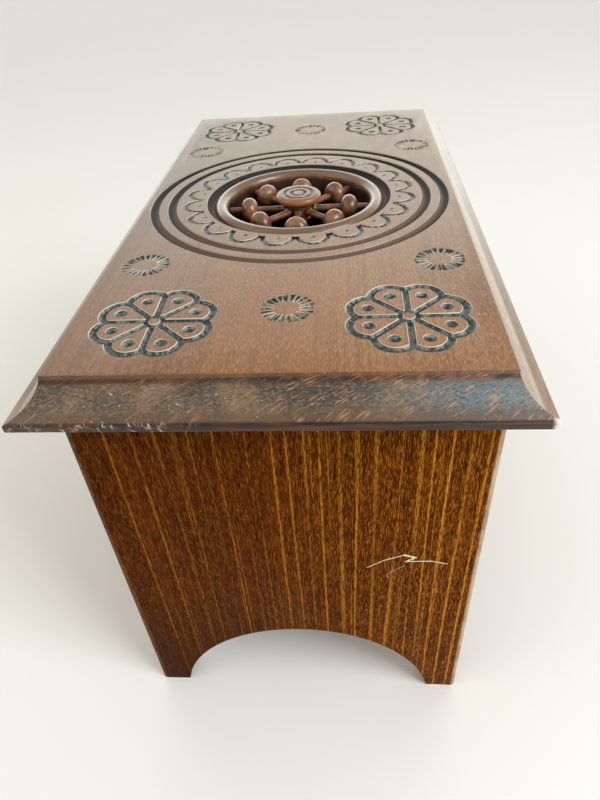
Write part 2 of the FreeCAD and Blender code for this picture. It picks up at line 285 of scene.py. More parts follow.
def seat(piece, name, body, slot, finish, *nodes):
    """Shade a finished piece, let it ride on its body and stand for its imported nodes."""
    choose(piece)
    bpy.ops.object.shade_smooth_by_angle(angle=math.radians(smooth_angle))
    piece.name = name
    piece.data.name = name
    piece.data.materials.clear()
    piece.data.materials.append(finish)
    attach(piece, body)
    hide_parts(*nodes)
    mesh = bmesh.new()
    mesh.from_mesh(piece.data)
    open_edges = sum(len(edge.link_faces) != 2 for edge in mesh.edges)
    mesh.free()
    print(name, "faces", len(piece.data.polygons), "open edges", open_edges)


print("edges over", soft_angle, "degrees are rounded, and those over", smooth_angle, "look sharp")

# %% [markdown]
# ## Shader sums
# A finish is worked out from the place on the piece, so most of its nodes are plain arithmetic.
# A small class wraps a socket, so that a sum in Python adds the Math nodes by itself.

# %% Shader terms
class Term:
    """A node's output that takes part in Python sums."""

    def __init__(self, tree, socket=None):
        self.tree = tree
        self.socket = socket

    def node(self, kind, settings=None, inputs=None, output=0):
        """Any node: its settings first, then the values or links of its sockets."""
        made = self.tree.nodes.new("ShaderNode" + kind)
        for name, value in (settings or {}).items():
            setattr(made, name, value)
        for name, value in (inputs or {}).items():
            if isinstance(value, Term):
                self.tree.links.new(value.socket, made.inputs[name])
            else:
                made.inputs[name].default_value = value
        return Term(self.tree, made.outputs[output] if made.outputs else None)

    def sum(self, operation, first, second=0.0):
        return self.node("Math", {"operation": operation}, {0: first, 1: second})

    def __add__(self, other):
        return self.sum("ADD", self, other)

    def __sub__(self, other):
        return self.sum("SUBTRACT", self, other)

    def __rsub__(self, other):
        return self.sum("SUBTRACT", other, self)

    def __mul__(self, other):
        return self.sum("MULTIPLY", self, other)

    def __truediv__(self, other):
        return self.sum("DIVIDE", self, other)

    def __abs__(self):
        return self.sum("ABSOLUTE", self)

    __radd__ = __add__
    __rmul__ = __mul__

    def least(self, other):
        return self.sum("MINIMUM", self, other)

    def most(self, other):
        return self.sum("MAXIMUM", self, other)

    def rise(self, low, high):
        """0 below low, 1 above high and a smooth step between them; it falls where low is above high."""
        limits = {"From Min": low, "From Max": high}
        return self.node("MapRange", {"interpolation_type": "SMOOTHSTEP"}, {"Value": self, **limits})


def shade(colour):
    """Three screen numbers from 0 to 255 as the linear colour that shaders take; all else as it is."""
    if isinstance(colour, tuple) and len(colour) == 3:
        return tuple((part / 255) ** 2.2 for part in colour) + (1.0,)
    return colour


print("shader terms ready, a mid brown is", [round(part, 3) for part in shade((120, 80, 50))])

# %% [markdown]
# Wood is built from noise that is stretched along the grain. The helpers below start a finish from
# Object coordinates, which stay with the piece when it moves, and lay colours over one another.

# %% Finish helpers
bump_distance = 0.2 * mm


def start_finish(name):
    """A new material and a term for its place in the part frame."""
    material = bpy.data.materials.new(name)
    material.use_nodes = True
    material.node_tree.nodes.clear()
    place = Term(material.node_tree).node("TexCoord", output="Object")
    return material, place


def axes_of(place):
    """The three coordinates of a place."""
    return [place.node("SeparateXYZ", {}, {0: place}, output=axis) for axis in range(3)]


def grain(place, stretch, detail=3.0, roughness=0.55):
    """Noise with so many waves to a metre along each axis."""
    mapped = place.node("Mapping", {}, {"Vector": place, "Scale": stretch})
    settings = {"Vector": mapped, "Scale": 1.0, "Detail": detail, "Roughness": roughness}
    return place.node("TexNoise", {}, settings)


def lay(colour, *layers):
    """Colours laid over a first one, each where its own mask says."""
    for mask, top in layers:
        inputs = {0: mask, 6: shade(colour), 7: shade(top)}
        colour = mask.node("Mix", {"data_type": "RGBA"}, inputs, output=2)
    return colour


def end_finish(material, place, colour, roughness, height, bump=0.3, **constants):
    """Join colour, roughness and bump to one Principled shader and the output."""
    inputs = {"Height": height, "Strength": bump, "Distance": bump_distance}
    normal = place.node("Bump", {}, inputs)
    inputs = {"Base Color": colour, "Roughness": roughness, "Normal": normal}
    for name, value in constants.items():
        inputs[name.replace("_", " ").title().replace("Ior", "IOR")] = value
    shader = place.node("BsdfPrincipled", {}, inputs)
    place.node("OutputMaterial", {}, {"Surface": shader})
    print("finish", material.name, "nodes", len(material.node_tree.nodes))
    return material


print("bump distance", bump_distance / mm, "mm")

# %% [markdown]
# ## Light
# A cool light stands to the right, as daylight from one side would, and a weaker warm one fills the left.
# Both are wide, so that shadows stay soft.

# %% Lights
window_place = Vector((1.05, -0.63, 0.90))
window_size = 0.75
window_power = 17.5
window_colour = (0.88, 0.95, 1.0)
fill_place = Vector((-0.8, -0.3, 0.7))
fill_size = 0.9
fill_power = 2.5
fill_colour = (1.0, 0.97, 0.92)
target = Vector((0, 0, 0.12))


def soft_light(name, place, size, power, colour):
    """A square area light that faces the box."""
    lamp = bpy.data.lights.new(name, "AREA")
    lamp.size = size
    lamp.energy = power
    lamp.color = colour
    light = bpy.data.objects.new(name, lamp)
    light.location = place
    light.rotation_euler = (target - place).to_track_quat("-Z", "Y").to_euler()
    bpy.context.scene.collection.objects.link(light)


soft_light("window_light", window_place, window_size, window_power, window_colour)
soft_light("fill_light", fill_place, fill_size, fill_power, fill_colour)
print("lights of", window_power, "and", fill_power, "W")

# %% [markdown]
# The world is brighter in a band low down behind the box. The waxed lid mirrors that band more and more
# towards its far end, which is seen at a low angle. The camera itself sees an even pale backdrop.

# %% World
world_level = 0.6
world_colour = (1.0, 0.98, 0.94, 1.0)
band_glow = 2.5
band_colour = (0.92, 1.0, 0.97, 1.0)
band_behind = (0.35, 0.8)
band_height = (0.62, 0.24)
backdrop_level = 0.8

world = bpy.data.worlds.new("studio")
world.use_nodes = True
world.node_tree.nodes.clear()
direction = Term(world.node_tree).node("TexCoord", output="Generated")
_, behind, height = axes_of(direction)
bright_band = behind.rise(*band_behind) * height.rise(*band_height)
sky = lay(world_colour, (bright_band, band_colour))
seen = direction.node("LightPath", output="Is Camera Ray")
strength = (world_level + band_glow * bright_band) * (1 - seen) + backdrop_level * seen
glow = direction.node("Background", {}, {"Color": sky, "Strength": strength})
direction.node("OutputWorld", {}, {"Surface": glow})
bpy.context.scene.world = world
print("world nodes", len(world.node_tree.nodes))

# %% [markdown]
# ## Floor
# A plain pale floor carries the box and takes its shadow. A faint haze in its colour keeps it from looking
# like paper. It is stage, so it is no piece of the box.

# %% Floor
floor_half = 3.0

deselect_all()
bpy.ops.mesh.primitive_plane_add(size=2 * floor_half)
floor = bpy.context.object
floor.name = "floor"
material, place = start_finish("pale_floor")
haze = grain(place, (3.0, 3.0, 3.0))
pale = lay((232, 228, 220), (haze, (238, 235, 229)))
floor.data.materials.append(end_finish(material, place, pale, 0.6 + 0.1 * haze, haze, bump=0.02))

# %% [markdown]
# ## Lid board
# The lid is one board with a moulded edge: a square fillet, a hollow cove and a small upright step
# below the flat top. By hand this is a router pass on four sides. Here the top face of a thin block is
# inset and raised along the cove's arc, step by step, which mitres the four corners by itself.

# %% Moulded lid board
lid_low, lid_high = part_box("lid_board")
lid_top = lid_high.z
fillet_height = 2.4 * mm
arris = 0.35 * mm
cove_reach = 9.8 * mm
quirk = 1.2 * mm
cove_exit = math.radians(10)
cove_steps = 14
arris_turns = (30, 60, 90)
arris_step = 30


def cove_places():
    """Inset and height of the cove's points, from the fillet to the foot of the upright step."""
    rise = lid_high.z - lid_low.z - quirk - fillet_height
    half_turn = math.atan2(rise, cove_reach) - cove_exit
    radius = math.hypot(cove_reach, rise) / 2 / math.sin(half_turn)
    turns = [cove_exit + 2 * half_turn * step / cove_steps for step in range(cove_steps + 1)]
    return [(radius * (math.sin(turn) - math.sin(cove_exit)),
             radius * (math.cos(cove_exit) - math.cos(turn))) for turn in turns]


def moulded_board():
    edge_top = Vector((lid_high.x, lid_high.y, lid_low.z + fillet_height))
    board = block("carved_lid", lid_low, edge_top)
    open_mesh(board)
    pick_all()
    bpy.ops.mesh.bevel(offset=arris, segments=3, affect="EDGES")
    bpy.ops.mesh.select_all(action="DESELECT")
    pick_top(board)
    bpy.ops.mesh.inset(thickness=arris / 4, depth=0)
    path = cove_places()
    for (inset, height), (next_inset, next_height) in zip(path, path[1:]):
        reach = next_inset - inset
        if inset == 0:
            reach -= arris * 5 / 4
        bpy.ops.mesh.inset(thickness=reach, depth=next_height - height)
    bpy.ops.mesh.inset(thickness=0, depth=quirk - arris)
    for turn in arris_turns:
        before, after = math.radians(turn - arris_step), math.radians(turn)
        bpy.ops.mesh.inset(thickness=arris * (math.cos(before) - math.cos(after)),
                           depth=arris * (math.sin(after) - math.sin(before)))
    close_mesh()
    return board


lid = moulded_board()
print("lid board", size_of(lid), "faces", len(lid.data.polygons))

# %% [markdown]
# ### Gouge cuts
# All the cuts have one section: a worn lip that slopes at 45 degrees, then a round bottom. The lip makes
# the pale line along each cut, and it keeps the cutter's edges off the lid's own surface.

# %% Ring grooves
lip = 0.3 * mm
above = 0.6 * mm
outer_ring = 61.0 * mm
inner_ring = 53.7 * mm
ring_width = 4.0 * mm
ring_depth = 1.4 * mm


def cut_outline(place, width, depth, steps=8):
    """Section of a cut at some radius: lips above the surface and a round bottom below them."""
    half = width / 2
    outline = [(place - half - above, lid_top + above)]
    for step in range(steps + 1):
        turn = math.pi * step / steps
        outline.append((place - (half - lip) * math.cos(turn),
                        lid_top - lip - (depth - lip) * math.sin(turn)))
    outline.append((place + half + above, lid_top + above))
    return outline + outline[:1]


ring_outlines = [cut_outline(radius, ring_width, ring_depth) for radius in (outer_ring, inner_ring)]
rings = [lathe("ring", outline, 192) for outline in ring_outlines]
carve(lid, rings)
print("ring grooves cut, faces", len(lid.data.polygons))

# %% [markdown]
# ### Scallop band
# Twenty arches stand round the wheel, each with a drilled dot. One arch is half a ring groove that is
# squeezed narrower and tipped, so that the cut runs out thin and shallow at its two feet, as a gouge does.
# Neighbours touch at their feet, so every second arch goes into a group of its own.

# %% Scallops and dots
scallop_count = 20
scallop_foot = 40.6 * mm
scallop_rise = 7.7 * mm
scallop_spread = 6.0 * mm
scallop_width = 3.0 * mm
scallop_depth = 1.1 * mm
scallop_tip = math.radians(1.2)
scallop_start = math.radians(10.6)
dot_ring = 42.3 * mm
dot_radius = 1.05 * mm
dot_depth = 0.95 * mm


def about_z(turn):
    return Matrix.Rotation(turn, 4, "Z")


def pit(name, radius, depth, steps=20):
    """Cutter for a drilled pit with a round bottom, at the origin of the lid's surface."""
    tube = (radius ** 2 + depth ** 2) / (2 * depth)
    outline = arc((0, lid_top - depth), (radius, lid_top), (0, lid_top + 2 * tube - depth), 12)
    return lathe(name, outline, steps)


arch = lathe("arch", cut_outline(scallop_rise, scallop_width, scallop_depth, 6), 28, math.pi)
reach = [vertex.co.y for vertex in arch.data.vertices]
side = 1 if max(reach) > -min(reach) else -1
level = shift(z=lid_top)
squeeze = Matrix.Diagonal((scallop_spread / scallop_rise, 1, 1, 1))
tip = level @ Matrix.Rotation(side * scallop_tip, 4, "X") @ level.inverted()
dot = pit("dot", dot_radius, dot_depth, 14)
arches, dots = [], []
for index in range(scallop_count):
    turn = about_z(scallop_start + math.tau * index / scallop_count)
    stand = about_z(-side * math.pi / 2)
    arches.append(copy_of(arch, turn @ shift(scallop_foot) @ stand @ tip @ squeeze))
    dots.append(copy_of(dot, turn @ shift(dot_ring)))
carve(lid, arches[::2], arches[1::2], dots)
discard(arch, dot)
print("scallops", scallop_count, "faces", len(lid.data.polygons))

# %% [markdown]
# ### Rosettes
# Each corner has an eight-petalled rosette. Eight straight cuts run out from a ring round a small button,
# and eight arcs join their ends. A straight cut is the section of a groove, drawn as a ring of vertices,
# filled and pulled out along X.

# %% Straight cuts
button_ring = 2.65 * mm
notch = 15.6 * mm
ray_width = 2.6 * mm
cut_depth = 1.25 * mm


def straight_cut(start, end):
    """A cut along X, pulled out of its own section."""
    outline = cut_outline(0, ray_width, cut_depth)[:-1]
    deselect_all()
    bpy.ops.mesh.primitive_circle_add(vertices=len(outline), radius=mm)
    ray = bpy.context.object
    for vertex, (offset, height) in zip(ray.data.vertices, outline):
        vertex.co = (start, offset, height)
    open_mesh(ray, "EDGE")
    pick_all()
    bpy.ops.mesh.edge_face_add()
    bpy.ops.mesh.extrude_region_move(TRANSFORM_OT_translate={"value": (end - start, 0, 0)})
    pick_all()
    bpy.ops.mesh.normals_make_consistent(inside=False)
    close_mesh()
    return ray


ray = straight_cut(button_ring, notch)
print("straight cut", size_of(ray))

# %% [markdown]
# A petal's arc is a part of a ring groove, swept only as far as the two notches beside it. A pit is drilled
# in each petal. Petals and rays meet their neighbours, so every second one goes into a group of its own.

# %% Rosettes
rosette_place = Vector((38.75, 98.8, 0)) * mm
petal_count = 8
petal_centre = 12.3 * mm
petal_radius = 6.3 * mm
button_ring_width = 2.1 * mm
cut_width = 3.0 * mm
petal_pit_place = 12.9 * mm
petal_pit_radius = 2.15 * mm
petal_pit_depth = 1.35 * mm

notch_x = notch * math.cos(math.pi / petal_count)
notch_y = notch * math.sin(math.pi / petal_count)
petal_half = math.atan2(notch_y, notch_x - petal_centre)
petal = lathe("petal", cut_outline(petal_radius, cut_width, cut_depth), 24, 2 * petal_half)
middle = about_z(-side * petal_half)
ring = lathe("button_ring", cut_outline(button_ring, button_ring_width, cut_depth), 32)
petal_pit = pit("petal_pit", petal_pit_radius, petal_pit_depth)
petals, rays, pits, buttons = [], [], [], []
corners = [Vector((across * rosette_place.x, along * rosette_place.y, 0))
           for across in (-1, 1) for along in (-1, 1)]
for corner in corners:
    stand = shift(*corner)
    buttons.append(copy_of(ring, stand))
    for index in range(petal_count):
        turn = about_z(math.tau * index / petal_count)
        between = stand @ turn @ about_z(math.pi / petal_count)
        rays.append(copy_of(ray, stand @ turn))
        petals.append(copy_of(petal, between @ shift(petal_centre) @ middle))
        pits.append(copy_of(petal_pit, between @ shift(petal_pit_place)))
carve(lid, petals[::2], petals[1::2], rays[::2], rays[1::2], buttons, pits)
discard(petal, ray, ring, petal_pit)
print("rosettes", len(buttons), "petals", len(petals), "faces", len(lid.data.polygons))

# %% [markdown]
# ### Sun rings
# Six small suns are struck with a gouge round a plain disc. Each stroke starts shallow at the disc and
# ends deep and blunt at the outer circle, so its cutter is a cone that dips outwards. The strokes were
# made by eye, so each one differs a little. The drawing of chance numbers is seeded, so it repeats.

# %% Sun rings
sun_places = [Vector(place) * mm for place in (
    (1.8, -92.8, 0), (1.0, 95.5, 0), (-51.0, -61.0, 0), (52.0, -62.6, 0), (-51.3, 64.0, 0), (52.6, 62.0, 0))]
stroke_count = 22
sun_radius = 8.5 * mm
sun_disc = 3.9 * mm
stroke_start = 0.45 * mm
stroke_end = 1.08 * mm
stroke_blunt = 0.3 * mm
stroke_lift = 0.2 * mm
stroke_sink = 0.12 * mm
stroke_end_taper = 0.6
slip_range = (-0.13, 0.13)
length_range = (0.96, 1.04)
width_range = (0.8, 1.06)
depth_range = (-0.15, 0.12)


def gouge_stroke():
    """A cone along X that comes out of the wood at the disc and dips to a blunt end."""
    length = sun_radius - stroke_blunt - sun_disc
    deselect_all()
    bpy.ops.mesh.primitive_cone_add(vertices=18, radius1=stroke_start, radius2=stroke_end, depth=length)
    stroke = bpy.context.object
    open_mesh(stroke)
    pick_top(stroke)
    bpy.ops.mesh.extrude_region_move(TRANSFORM_OT_translate={"value": (0, 0, stroke_blunt)})
    bpy.ops.transform.resize(value=(stroke_end_taper, stroke_end_taper, 1))
    close_mesh()
    dip = math.atan2(stroke_lift + stroke_sink, length)
    lie = Matrix.Rotation(math.pi / 2 + dip, 4, "Y")
    middle = Vector((sun_disc + length / 2, 0, lid_top + (stroke_lift - stroke_sink) / 2))
    stroke.data.transform(shift(*middle) @ lie)
    return stroke


chance = random.Random(11)
stroke = gouge_stroke()
strokes = []
for sun in sun_places:
    start = chance.uniform(0, math.tau)
    for index in range(stroke_count):
        turn = start + math.tau * (index + chance.uniform(*slip_range)) / stroke_count
        stretch = Matrix.Diagonal((chance.uniform(*length_range), chance.uniform(*width_range), 1, 1))
        sink = shift(z=chance.uniform(*depth_range) * mm)
        strokes.append(copy_of(stroke, shift(*sun) @ about_z(turn) @ sink @ stretch))
carve(lid, strokes[::2], strokes[1::2])
discard(stroke)
print("strokes", len(strokes), "faces", len(lid.data.polygons))

# %% [markdown]
# ### Seat of the wheel
# The wheel's rim is let into the lid from below, against a flange, and a deep groove frees its round bead
# on top. Hole, counterbore and groove share one axis, so one spun cutter takes them all out.

# %% Wheel seat
_, rim_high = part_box("wheel_rim")
flange_radius = rim_high.x
flange_thickness = 3.0 * mm
flange_top = lid_low.z + flange_thickness
rim_radius = 36.0 * mm
bead_groove_width = 3.3 * mm
bead_groove_depth = 2.6 * mm
groove_bend_share = 0.72
groove_drop_share = 0.7
glue_gap = 0.1 * mm


def wheel_seat():
    hole = rim_radius + glue_gap
    groove_edge = rim_radius + bead_groove_width
    outline = [(0, lid_top + above), (groove_edge + above, lid_top + above)]
    outline += arc((groove_edge - lip, lid_top - lip),
                   (rim_radius + groove_bend_share * bead_groove_width,
                    lid_top - groove_drop_share * bead_groove_depth),
                   (hole, lid_top - bead_groove_depth))
    outline += [(hole, flange_top + glue_gap), (flange_radius + glue_gap, flange_top + glue_gap)]
    outline += [(flange_radius + glue_gap, lid_low.z - above), (0, lid_low.z - above)]
    return lathe("wheel_seat", outline, 160)


carve(lid, [wheel_seat()])
print("wheel seat cut, faces", len(lid.data.polygons))

# %% [markdown]
# ### Hinge pockets
# Under the back edge each hinge has a shallow mortise for its leaf, as a chisel would cut, and a channel for
# its knuckles. Both are blocks, sized from the leaf's own box with a small gap. A mortise runs into its
# channel, so the two kinds are cut one after the other.

# %% Hinge pockets
pin = Vector(frame["joints"][0]["pos_m"])
leaf_thickness = 1.0 * mm
knuckle_radius = 2.0 * mm
mortise_gap = 0.15 * mm
channel_gap = 0.3 * mm
pin_end = 0.4 * mm
hinge_ends = ("near", "far")


def lid_mortise(end):
    low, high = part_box(f"{end}_hinge_lid_leaf")
    return block("mortise", (low.x - mortise_gap, low.y - mortise_gap, lid_low.z - above),
                 (pin.x, high.y + mortise_gap, lid_low.z + leaf_thickness + mortise_gap))


def knuckle_channel(end):
    low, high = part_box(f"{end}_hinge_lid_leaf")
    reach = knuckle_radius + channel_gap
    along = mortise_gap + pin_end
    return block("channel", (pin.x - reach, low.y - along, lid_low.z - above),
                 (pin.x + reach, high.y + along, pin.z + reach))


carve(lid, [lid_mortise(end) for end in hinge_ends])
carve(lid, [knuckle_channel(end) for end in hinge_ends])
print("hinge pockets cut, faces", len(lid.data.polygons))

# %% [markdown]
# ### Screw holes
# Each set of four screws has pilot holes that end in a point, as a drill leaves them. One hole is spun and
# copied to the middles of the screw heads. The lid's holes run up, and those of the box run down.

# %% Screw holes
screw_head = 1.8 * mm
screw_shank = 0.95 * mm
screw_spacing = 18.0 * mm
screw_taper = 0.7


def screw_places(node):
    """Middles of the four screw heads of one node, on the leaves' faces."""
    low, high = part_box(node)
    face = low.z if node == "hinge_lid_screws" else high.z
    rows = (high.y - screw_head, high.y - screw_head - screw_spacing)
    return [Vector(((low.x + high.x) / 2, side * row, face)) for side in (-1, 1) for row in rows]


def screw_turn(node):
    """The lid's screws point up, and those of the box point down."""
    return Matrix.Rotation(0 if node == "hinge_lid_screws" else math.pi, 4, "X")


def screw_holes(node):
    """Pilot holes that run into the wood from the screws' heads."""
    low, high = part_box(node)
    reach = high.z - low.z
    outline = [(0, -above), (screw_shank, -above), (screw_shank, screw_taper * reach), (0, reach)]
    hole = lathe("hole", outline, 12)
    holes = [copy_of(hole, shift(*place) @ screw_turn(node)) for place in screw_places(node)]
    discard(hole)
    return holes


carve(lid, screw_holes("hinge_lid_screws"))
print("lid finished, faces", len(lid.data.polygons))

# %% [markdown]
# ## Spindle wheel
# Rim, hub and eight spindles are separate turnings, and each spindle has a tenon in both. A lathe piece
# is only as good as its outline, so beads and hollows are true arcs with enough points to look round.

# %% Rim
rim_inner = 30.3 * mm
bead_rise = 2.6 * mm
bead_drop = 0.3 * mm
soft = 0.4 * mm
tenon_radius = 1.05 * mm
tenon_gap = 0.05 * mm
spindle_low, spindle_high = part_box("wheel_spindle_1")
axis_height = (spindle_low.z + spindle_high.z) / 2
along_x = shift(z=axis_height) @ Matrix.Rotation(math.pi / 2, 4, "Y")
spindle_count = 8
spindle_turns = [about_z(math.tau * index / spindle_count) for index in range(spindle_count)]


def sockets(start, end):
    """Eight cutters for tenon holes between two radii."""
    radius = tenon_radius + tenon_gap
    drill = lathe("drill", [(0, start), (radius, start), (radius, end), (0, end)], 20)
    drill.data.transform(along_x)
    drills = [copy_of(drill, turn) for turn in spindle_turns]
    discard(drill)
    return drills


spring = lid_top - bead_drop - bead_rise
bead_crown = ((rim_inner + rim_radius) / 2, lid_top - bead_drop)
outline = arc((rim_inner, spring), bead_crown, (rim_radius, spring), 16)
outline += [(rim_radius, flange_top), (flange_radius - soft, flange_top), (flange_radius, flange_top - soft)]
outline += [(flange_radius, lid_low.z + soft), (flange_radius - soft, lid_low.z)]
outline += [(rim_inner + soft, lid_low.z), (rim_inner, lid_low.z + soft), (rim_inner, spring)]
rim = lathe("rim", outline, 160)
carve(rim, sockets(rim_inner - above, spindle_high.x + tenon_gap))
print("rim", size_of(rim))

# %% [markdown]
# ### Hub
# The hub is shaped like a mushroom: a stem that takes eight tenons, a hollow neck and a thick cap with two
# fine rings in its face. One outline runs up the stem, round the cap's edge and in to the middle.

# %% Hub
hub_low, hub_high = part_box("wheel_hub")
cap_radius = hub_high.x
cap_thickness = 3.2 * mm
stem_radius = 5.2 * mm
foot_round = 2.0 * mm
hub_top = hub_high.z
hub_rings = (6.0 * mm, 3.0 * mm)
hub_ring_half = 0.75 * mm
hub_ring_depth = 0.6 * mm


def hub_outline():
    cap_base = hub_top - cap_thickness
    brim = cap_radius - cap_thickness / 2
    stem_top = axis_height + tenon_radius + tenon_gap + soft
    bend = math.sqrt(0.5)
    outline = arc((0, hub_low.z), (stem_radius * bend, hub_low.z + foot_round * (1 - bend)),
                  (stem_radius, hub_low.z + foot_round), 8)
    outline += arc((stem_radius, stem_top),
                   (stem_radius + (brim - stem_radius) * (1 - bend), stem_top + (cap_base - stem_top) * bend),
                   (brim, cap_base), 8)
    outline += arc((brim, cap_base), (cap_radius, cap_base + cap_thickness / 2), (brim, hub_top), 14)[1:]
    for ring in hub_rings:
        outline += arc((ring + hub_ring_half, hub_top), (ring, hub_top - hub_ring_depth),
                       (ring - hub_ring_half, hub_top), 8)
    return outline + [(0, hub_top)]


hub = lathe("hub", hub_outline(), 96)
carve(hub, sockets(spindle_low.x - tenon_gap, stem_radius + above))
print("hub", size_of(hub))

# %% [markdown]
# ### Spindles
# Each spindle has a collar beside the hub, a round bulb and a tenon at both ends. One is spun upright, laid
# along X at the height of the sockets and copied round the wheel, each copy with a mesh of its own.

# %% Spindles
shoulder_gap = 0.15 * mm
collar_length = 2.2 * mm
collar_radius = 1.75 * mm
neck_radius = 1.25 * mm
bulb_length = 7.2 * mm
outer_neck = 5.2 * mm
bulb_radius = (spindle_high.z - spindle_low.z) / 2


def spindle_outline():
    """Half the outline of a spindle, as (radius, place along it)."""
    start, end = stem_radius + shoulder_gap, rim_inner - shoulder_gap
    bulb_end = rim_inner - outer_neck
    bulb_start = bulb_end - bulb_length
    outline = [(0, spindle_low.x), (tenon_radius, spindle_low.x), (tenon_radius, start)]
    outline += arc((neck_radius, start), (collar_radius, start + collar_length / 2),
                   (neck_radius, start + collar_length), 8)
    bulb_crown = (bulb_radius, (bulb_start + bulb_end) / 2)
    outline += arc((neck_radius, bulb_start), bulb_crown, (neck_radius, bulb_end), 22)
    outline += [(neck_radius, end), (tenon_radius, end), (tenon_radius, spindle_high.x), (0, spindle_high.x)]
    return outline


spindle = lathe("spindle", spindle_outline(), 48)
spindle.data.transform(along_x)
spindles = [copy_of(spindle, turn) for turn in spindle_turns]
discard(spindle)
print("spindles", len(spindles), "bulb radius", round(bulb_radius / mm, 2))

# %% [markdown]
# ## Carcass boards
# Two upright end boards stand on the floor with an arch cut between their feet. The front and back boards
# sit in housings on their inner faces, and the bottom slides in grooves all round. Each cut is the other
# board's own box, grown by a hair for glue.

# %% End boards
corner_round = 1.8 * mm
board_arris = 0.4 * mm
foot_width = 12.5 * mm
arch_rise = 44.0 * mm
corner_slack = mm / 10


def cut_for(board, *nodes):
    """Take other boards' boxes out of a board, with room for glue."""
    for node in nodes:
        low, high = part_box(node)
        gap = Vector((glue_gap, glue_gap, glue_gap))
        carve(board, [block("housing", low - gap, high + gap)])


def arch_cutter(low, high):
    """A cylinder across the board that leaves its two feet."""
    half = high.x - foot_width
    radius = (half ** 2 + arch_rise ** 2) / (2 * arch_rise)
    deselect_all()
    bpy.ops.mesh.primitive_cylinder_add(vertices=180, radius=radius, depth=3 * (high.y - low.y))
    cutter = bpy.context.object
    lie = Matrix.Rotation(math.pi / 2, 4, "X")
    cutter.data.transform(shift(0, (low.y + high.y) / 2, arch_rise - radius) @ lie)
    return cutter


def end_board():
    """The near end board; the far one is the same board turned round."""
    low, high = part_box("near_end_panel")
    board = block("end_board", low, high)
    for corner in (low.x, high.x):
        open_mesh(board, "EDGE")
        pick(board, "edges", lambda edge: all(
            end.co.y < low.y + corner_slack and abs(end.co.x - corner) < corner_slack for end in edge.verts))
        bpy.ops.mesh.bevel(offset=corner_round, segments=8, affect="EDGES")
    close_mesh()
    carve(board, [arch_cutter(low, high)])
    cut_for(board, "front_panel", "back_panel", "bottom_panel")
    soften(board, board_arris, 3)
    return board


near_end = end_board()
far_end = copy_of(near_end, about_z(math.pi))
print("end boards", size_of(near_end), "faces", len(near_end.data.polygons))

# %% [markdown]
# The long boards are plain, with a groove for the bottom. The back one also has beds for the lower hinge
# leaves and holes for their screws. They start as blocks from their packed boxes, and only their edges
# are softened, because planed boards fit flush in their housings.

# %% Front, back and bottom boards
def long_board(node):
    low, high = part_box(node)
    board = block(node, low, high)
    cut_for(board, "bottom_panel")
    return board


def leaf_mortise(end):
    """The bed of a hinge's lower leaf in the top edge of the back board."""
    low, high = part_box(f"{end}_hinge_box_leaf")
    _, back_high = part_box("back_panel")
    bed = back_high.z - leaf_thickness - mortise_gap
    return block("bed", (low.x - mortise_gap, low.y - mortise_gap, bed),
                 (back_high.x + above, high.y + mortise_gap, back_high.z + above))


front_board = long_board("front_panel")
back_board = long_board("back_panel")
carve(back_board, [leaf_mortise(end) for end in hinge_ends])
carve(back_board, screw_holes("hinge_box_screws"))
bottom_board = block("bottom", *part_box("bottom_panel"))
for board in (front_board, back_board, bottom_board):
    soften(board, board_arris / 2, 2)
    print(board.name, size_of(board))

# %% [markdown]
# ## Hinges and screws
# The lid hangs on two small brass butts under its back edge. A leaf is a plate with rolled knuckles, so a
# bevelled block and short lathe tubes are joined by Booleans, and the screw holes are countersunk.

# %% Hinge leaves
knuckle_length = 10.0 * mm
knuckle_gap = 0.25 * mm
pin_radius = 0.9 * mm
pin_gap = 0.05 * mm
brass_arris = 0.12 * mm
tab_inset = mm / 100
bore_overrun = mm


def along_y(start):
    """Lay a lathe piece along Y on the hinge's axis, with its foot at a place."""
    return shift(pin.x, start, pin.z) @ Matrix.Rotation(-math.pi / 2, 4, "X")


def knuckle(length):
    """A rolled tube with chamfered ends."""
    bore, chamfer = pin_radius + pin_gap, brass_arris
    return lathe("knuckle", [
        (bore, 0), (knuckle_radius - chamfer, 0), (knuckle_radius, chamfer),
        (knuckle_radius, length - chamfer),
        (knuckle_radius - chamfer, length), (bore, length), (bore, 0)], 40)


def hinge_leaf(end, part, thirds, up):
    """A plate, its tabs and knuckles, and two countersunk holes."""
    low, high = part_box(f"{end}_hinge_{part}_leaf")
    face = lid_low.z if up > 0 else pin.z - (lid_low.z - pin.z)
    bottom, top = sorted((face, face + up * leaf_thickness))
    clear = pin.x - knuckle_radius - knuckle_gap
    leaf = block("leaf", (low.x, low.y, bottom), (clear, high.y, top))
    soften(leaf, brass_arris, 2)
    for third in thirds:
        start = low.y + third * knuckle_length + (knuckle_gap / 2 if third > 0 else 0)
        stop = low.y + (third + 1) * knuckle_length - (knuckle_gap / 2 if third < 2 else 0)
        combine(leaf, block("tab", (clear - leaf_thickness, start + brass_arris, bottom + tab_inset),
                            (pin.x - pin_radius, stop - brass_arris, top - tab_inset)), "UNION")
        tube = knuckle(stop - start)
        tube.data.transform(along_y(start))
        combine(leaf, tube, "UNION")
    bore_radius = pin_radius + pin_gap
    bore_start = -bore_overrun
    bore_end = high.y - low.y + bore_overrun
    outline = [(0, bore_start), (bore_radius, bore_start), (bore_radius, bore_end), (0, bore_end)]
    bore = lathe("bore", outline, 40)
    bore.data.transform(along_y(low.y))
    carve(leaf, [bore])
    sink = lathe("sink", [(0, -above), (screw_head + above, -above), (screw_shank, screw_head - screw_shank),
                          (screw_shank, leaf_thickness + above), (0, leaf_thickness + above)], 32)
    middle = (low.y + high.y) / 2
    screws = f"hinge_{part}_screws"
    near = [place for place in screw_places(screws) if abs(place.y - middle) < high.y - low.y]
    carve(leaf, [copy_of(sink, shift(*place) @ screw_turn(screws)) for place in near])
    discard(sink)
    return leaf


